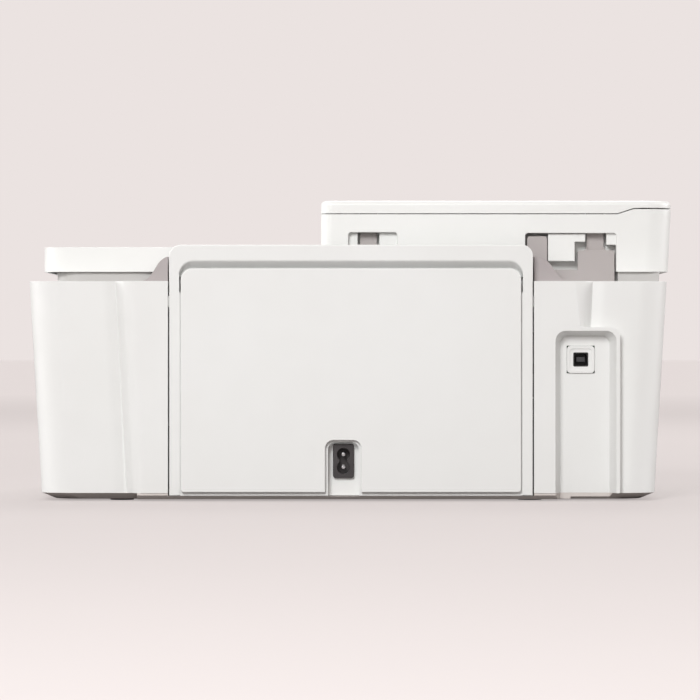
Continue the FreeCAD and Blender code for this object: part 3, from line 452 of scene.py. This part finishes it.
def shape_casing(bm):
    """Splits the rear into simple faces, sinks the outer panels, then rounds the crests."""
    slice_faces(bm, bm.faces[:], (0.0, 0.0, RECESS_TOP * MM), (0.0, 0.0, 1.0))
    slice_faces(bm, bm.faces[:], (RECESS_MID_X * MM, 0.0, 0.0), (1.0, 0.0, 0.0))
    for foot in FEET:
        roll_off(bm, *foot)
    edges = [e for e in bm.edges if is_crest(e)]
    bevel(bm, edges, CREST_BEVEL, 10)
    print("crest edges", len(edges))


def casing_edge(p):
    """The top rim, the corners and the rear. The hidden lower rim and front openings stay sharp."""
    return p.z > 146.0 or (p.z > 8.0 and (abs(p.x) > 205.0 or p.y > 160.0))


rounded("main_casing", 0.35, edit=shape_casing, where=casing_edge, allow=4.0)

# %% [markdown]
# ## Base pan, neck and feet
# The pan is the grey tub under the casing, and the neck is the recessed grey band between the
# casing and the scanner. Both are thin mouldings, so a small bevel is enough.

# %% Underside and neck
rounded("base_pan", 0.3)
rounded("neck_frame", 0.3)
rounded("rubber_feet", 0.25)
rounded("case_screws", 0.08, 2)

# %% [markdown]
# ## Scanner
# The scanner base and the lid meet at a dark seam. The base's rim beside the seam is too thin for a
# bevel, so only its lower edges are rounded, and on the lid only the upper ones.

# %% Scanner shell
rounded("scanner_base", 0.5, where=lambda p: p.z < 188.0)
rounded("scanner_lid", 0.35, where=lambda p: p.z > 196.0)
rounded("lid_pad", 0.8)
rounded("lid_hinge_pins", 0.15, 2)
rounded("lid_hinge_posts", 0.12, 2)
rounded("hinge_boss", 0.6)
rounded("hinge_guide", 0.5)

# %% Scan bed
rounded("scanner_glass", 0.2)
rounded("scan_rail", 0.2)
rounded("scan_bar", 0.3)

# %% [markdown]
# ## Deck, ink tanks and controls
# These small mouldings are seen from above, so the bevels are what gives each a bright outline.
# The tank lid is a thin shell, and only its upper edges are rounded.

# %% Deck
rounded("deck_cover", 0.6)
rounded("tank_lid", 0.5, where=lambda p: p.z > 169.0)
rounded("tank_tray", 0.4)
rounded("ink_tanks", 0.3)
INK_LEVELS = {"black": 112.0, "cyan": 96.0, "magenta": 103.0, "yellow": 89.0}
for colour in INK_LEVELS:
    rounded("cap_" + colour, 0.35)

# %% Controls
rounded("control_panel", 0.25)
rounded("display", 0.25)
BUTTONS = ("power", "cancel", "copy", "wireless")
for key in BUTTONS:
    rounded("button_" + key, 0.3)

# %% [markdown]
# ## Ink and button symbols
# The tanks are clear shells, so each needs a body of ink inside. The symbols are shallow raised
# shapes. Both are outlines given a height: one ring of corners below, one above, a wall between.
# An image on the button would be quicker, but a raised shape keeps its edge at any distance.

# %% Outline to solid
def prism(bm, points, low, high):
    """A solid with upright sides from an outline in mm, listed anticlockwise."""
    rings = [[bm.verts.new((x * MM, y * MM, z * MM)) for x, y in points] for z in (low, high)]
    bm.faces.new(rings[0][::-1])
    bm.faces.new(rings[1])
    for i in range(len(points)):
        j = (i + 1) % len(points)
        bm.faces.new((rings[0][i], rings[0][j], rings[1][j], rings[1][i]))


def box_outline(x0, x1, y0, y1):
    return [(x0, y0), (x1, y0), (x1, y1), (x0, y1)]


# %% Ink
FIRST_TANK_X, TANK_PITCH = 121.6, 18.4
INK_X, INK_Y, INK_FLOOR = (1.75, 16.05), (-148.2, 28.2), 31.8   # X from the tank's left side
INK_CORNER = 1.2


def ink(colour, left, level):
    bm = bmesh.new()
    prism(bm, box_outline(left + INK_X[0], left + INK_X[1], *INK_Y), INK_FLOOR, level)
    corners = [e for e in bm.edges if abs(e.verts[0].co.z - e.verts[1].co.z) > 0.01]
    bevel(bm, corners, INK_CORNER, 3)
    soften(bm, 0.25, 2)
    finish_piece("ink_" + colour, bm, BODY_OF["ink_tanks"], SLOT_OF["ink_tanks"], ["ink_" + colour])
    print("ink", colour, "up to", level, "mm")


for place, (colour, level) in enumerate(INK_LEVELS.items()):
    ink(colour, FIRST_TANK_X + TANK_PITCH * place, level)

# %% Outlines for the symbols
STROKE = 0.16                                  # half the width of a line, in mm


def bar(x, y, half_long, half_wide, turn):
    """The outline of a bar turned about its middle."""
    c, s = math.cos(radians(turn)), math.sin(radians(turn))
    return [(x + c * u - s * v, y + s * u + c * v) for u, v in
            box_outline(-half_long, half_long, -half_wide, half_wide)]


def ring(x, y, radius, turns):
    return [(x + radius * math.cos(t), y + radius * math.sin(t)) for t in turns]


def arc(x, y, radius, start, end, half_wide=STROKE, steps=14):
    turns = [radians(start + (end - start) * i / steps) for i in range(steps + 1)]
    return ring(x, y, radius + half_wide, turns) + ring(x, y, radius - half_wide, turns)[::-1]


# %% The four symbols, each from the middle of its button
def power_symbol(x, y):
    return [arc(x, y, 1.9, 120, 420), bar(x, y + 1.7, 0.9, STROKE, 90)]


def cancel_symbol(x, y):
    return [bar(x + side * 0.95, y + rise * 0.95, 1.2, 0.18, turn)
            for side, rise, turn in ((-1, -1, 45), (1, 1, 45), (-1, 1, 135), (1, -1, 135))]


def copy_symbol(x, y):
    """One whole sheet, and the two edges of a second sheet that show behind it."""
    across = [bar(x + dx, y + dy, 1.4, STROKE, 0) for dx, dy in ((-0.7, -1.9), (-0.7, 1.1), (0.7, 2.2))]
    upright = [bar(x + dx, y + dy, 1.25, STROKE, 90) for dx, dy in ((-2.0, -0.4), (0.6, -0.4), (2.0, 0.7))]
    return across + upright


def wireless_symbol(x, y):
    return [arc(x, y - 1.6, r, 50, 130) for r in (1.3, 2.4, 3.5)] + [arc(x, y - 1.6, 0.3, 0, 340, 0.2)]


# %% Button symbols
FIRST_BUTTON, BUTTON_PITCH, BUTTON_TOP = (46.0, -127.0), 17.5, 171.9
SYMBOLS = (power_symbol, cancel_symbol, copy_symbol, wireless_symbol)
for place, (key, symbol) in enumerate(zip(BUTTONS, SYMBOLS)):
    bm = bmesh.new()
    for outline in symbol(FIRST_BUTTON[0] + BUTTON_PITCH * place, FIRST_BUTTON[1]):
        prism(bm, outline, BUTTON_TOP - 0.1, BUTTON_TOP + 0.06)
    finish_piece("symbol_" + key, bm, BODY_OF["button_" + key], SLOT_OF["button_" + key],
                 ["casing_white"], flat=True)
    print("symbol", key)

# %% [markdown]
# ## Front and paper paths
# The rear tray frame is bevelled on its back rim and in its grip, where the light catches. The thin
# line that the frame leaves round the paper panel stays sharp, or the bevel would swallow it.

# %% Front and paper paths
def tray_edge(p):
    """The rim of the frame's back face, and the grip."""
    rim = p.y > 176.5 and (abs(p.x) > 118.0 or p.z > 163.0)
    return rim or (148.0 < p.z < 163.0 and abs(p.x) < 117.0)


rounded("front_door", 0.5)
rounded("sight_window", 0.4)
rounded("output_tray", 0.4)
rounded("output_extender", 0.3)
rounded("rear_tray_frame", 0.8, where=tray_edge)
rounded("paper_support", 0.8)
# The hopper cheeks take the retoned mauve copy, whose tone is painted light.
rounded("hopper_cheeks", 0.4, paints=["mauve_light"])
rounded("width_guide_left", 0.4)
rounded("width_guide_right", 0.4)
rounded("paper_ramp", 0.4)


# %% [markdown]
# ## Rollers and gears
# Each roller node is a steel shaft, rubber tyres and a white gear in one solid. The faces are
# sorted by how far they are from the shaft and where they lie along it. The pickup roller has no
# gear of its own. Separate pieces would be more exact, but the solid is one part that turns as one.

# %% Rollers
STEEL, TYRE, GEAR = 0, 1, 2
GEAR_X = -174.4                                # the gears lie beyond this


def roller_paint(y, z, reach, gear_x=GEAR_X):
    """Paints by distance from the shaft's line: steel within reach, tyre outside it."""
    def choose(face):
        p = spot(face)
        if p.x < gear_x:
            return GEAR
        return TYRE if math.hypot(p.y - y, p.z - z) > reach else STEEL
    return choose


ROLLER_PAINTS = ["steel", "rubber_dark", "gear_white"]
rounded("feed_roller", 0.0, paints=ROLLER_PAINTS, paint=roller_paint(50.0, 56.0, 4.35))
rounded("exit_roller", 0.0, paints=ROLLER_PAINTS, paint=roller_paint(-46.0, 56.0, 3.35))
rounded("pickup_roller", 0.15, 2, paints=ROLLER_PAINTS[:2],
        paint=roller_paint(128.0, 82.0, 3.4, -math.inf))
rounded("idler_gear", 0.0)
rounded("feed_pinion", 0.0)
rounded("side_plates", 0.12, 2)

# %% [markdown]
# ## Print engine
# Everything here sits behind the front door and is seen only when it opens. The pulleys keep their
# CAD edges, because their flanges are thinner than any useful bevel.

# %% Print engine
rounded("carriage_rail", 0.15, 2)
rounded("carriage", 0.5)
rounded("printheads", 0.5)
rounded("head_latch", 0.3)
rounded("drive_belt", 0.15, 2)
rounded("motor_pulley", 0.0)
rounded("belt_idler", 0.0)
rounded("carriage_motor", 0.4)
rounded("feed_motor", 0.4)
rounded("platen", 0.3)
rounded("service_station", 0.3)
rounded("power_supply", 0.8)
rounded("main_board", 0.12, 2)

# %% [markdown]
# ## Sockets
# The mains inlet is a black block with two bright pins. The data socket has a white bezel and a dark grey
# tongue, and its well, walls included, is painted near black as painted shade for the deep mouth. Each
# face takes its paint from where it lies.

# %% Sockets
INLET_X, INLET_Z, PIN_OFFSET, PIN_REACH, PIN_BACK_Y = 5.1, 26.7, 4.3, 1.45, 160.4
USB_X, USB_Z = -154.8, 94.9
USB_TONGUE, USB_WELL = (2.9, 1.7), (5.1, 4.8)   # half width and half height


def inlet_paint(face):
    """Steel near the line of either pin, black elsewhere."""
    p = spot(face)
    away = min(math.hypot(p.x - INLET_X, p.z - INLET_Z - rise) for rise in (-PIN_OFFSET, PIN_OFFSET))
    return 1 if away < PIN_REACH and p.y > PIN_BACK_Y else 0


def usb_paint(face):
    """White bezel, painted shade in the well, dark grey tongue. The farthest corner of a face decides."""
    across = max(abs(v.co.x / MM - USB_X) for v in face.verts)
    up = max(abs(v.co.z / MM - USB_Z) for v in face.verts)
    if across < USB_TONGUE[0] and up < USB_TONGUE[1]:
        return 2
    return 1 if across < USB_WELL[0] and up < USB_WELL[1] else 0


rounded("power_inlet", 0.25, paints=["black_plastic", "port_steel"], paint=inlet_paint)
# The well of the data socket, walls included, takes the painted shade.
rounded("usb_port", 0.15, paints=["casing_white", "well_black", "dark_grey"], paint=usb_paint)

# %% [markdown]
# ## Floor
# A wide flat disc. Part of its brightness is its own, so the shadow under the printer stays faint,
# as it does on a lit sweep of paper. Light linking keeps that glow off the printer, or every
# surface that looks down would be as bright as one that looks up.

# %% Floor
SKY = (0.831, 0.768, 0.753)
PAPER = 0.32                                  # how much of the room's light the floor returns
GLOW = (0.50, 0.76)                           # its own light, near the printer and far away


def sweep_material():
    made = Surface("sweep_paper", tuple(c * PAPER for c in SKY), 0.9)
    made.relief(made.noise(300.0, 4.0), 0.0002, 0.3)
    made.drift(made.noise(2.0, 3.0), 0.01)
    away = made.node("ShaderNodeVectorMath", Vector=made.coords)
    away.operation = "LENGTH"
    glow = made.spread(away.outputs["Value"], *GLOW, start=0.6, end=7.0)
    made.feed(made.shader.inputs["Emission Strength"], glow)
    made.set(Emission_Color=(*SKY, 1.0), Specular_IOR_Level=0.1)
    return made.material


# %% Floor disc
bm = bmesh.new()
bmesh.ops.create_circle(bm, cap_ends=True, segments=96, radius=40.0)
floor_mesh = bpy.data.meshes.new("floor")
bm.to_mesh(floor_mesh)
bm.free()
floor = bpy.data.objects.new("floor", floor_mesh)
bpy.context.collection.objects.link(floor)
floor_mesh.materials.append(sweep_material())
floor.location.z = -0.0001
glow_reaches = bpy.data.collections.new("glow reaches")
glow_reaches.objects.link(floor)
floor.light_linking.receiver_collection = glow_reaches
print("floor radius 40 m")

# %% [markdown]
# ## Light and camera
# A white product against a pale ground needs light from all round, so a pale world fills every
# shadow. Its strength falls with height, or upward faces would burn out before upright ones are
# bright. Soft area lamps add shape: one near the camera, one at the front, two sides, one above.


# %% Light
KEY_POWER, SIDE_POWER, TOP_POWER = 64.0, 18.0, 1.0


def lamp(name, place, aim, size, power):
    data = bpy.data.lights.new(name, "AREA")
    data.shape, data.size, data.energy = "SQUARE", size, power
    made = bpy.data.objects.new(name, data)
    made.location = place
    made.rotation_euler = (Vector(aim) - Vector(place)).to_track_quat("-Z", "Y").to_euler()
    bpy.context.collection.objects.link(made)
    print("lamp", name, power)


# %% World
world = bpy.data.worlds.new("studio")
bpy.context.scene.world = world
world.use_nodes = True
sky_tree = world.node_tree
background = sky_tree.nodes["Background"]
background.inputs["Color"].default_value = (*SKY, 1.0)
direction = sky_tree.nodes.new("ShaderNodeTexCoord")
height = sky_tree.nodes.new("ShaderNodeSeparateXYZ")
fade = sky_tree.nodes.new("ShaderNodeMapRange")
fade.interpolation_type = "SMOOTHSTEP"
for key, number in (("From Min", 0.22), ("From Max", 0.62), ("To Min", 1.0), ("To Max", 0.45)):
    fade.inputs[key].default_value = number
sky_tree.links.new(direction.outputs["Generated"], height.inputs["Vector"])
sky_tree.links.new(height.outputs["Z"], fade.inputs["Value"])
sky_tree.links.new(fade.outputs["Result"], background.inputs["Strength"])

# %% Lamps
lamp("key", (0.7, 2.9, 1.45), (0, 0.15, 0.1), 1.0, KEY_POWER)
lamp("front_key", (-0.2, -2.4, 2.2), (0, -0.15, 0.1), 1.2, 0.5 * KEY_POWER)
lamp("side_left", (1.9, -0.2, 0.7), (0, 0, 0.1), 0.9, SIDE_POWER)
lamp("side_right", (-1.9, -0.2, 0.7), (0, 0, 0.1), 0.9, SIDE_POWER)
lamp("top", (0.0, 0.1, 2.4), (0, 0, 0.1), 1.4, TOP_POWER)

# %% [markdown]
# ## Camera
# A long lens from straight behind keeps the verticals upright and shows almost nothing of the
# sides. A lens of 50 mm closer in would do for a livelier picture, but not for comparing shapes.

# %% Camera
lens = bpy.data.cameras.new("camera")
lens.lens, lens.sensor_width = 230.0, 36.0
lens.clip_end = 200.0
camera = bpy.data.objects.new("camera", lens)
camera.location = (0.00067, 3.18, 0.1013)
camera.rotation_euler = (radians(90), 0.0, radians(180))
bpy.context.collection.objects.link(camera)
bpy.context.scene.camera = camera
bpy.context.scene.view_settings.view_transform = "Standard"
print("camera", lens.lens, "mm lens")
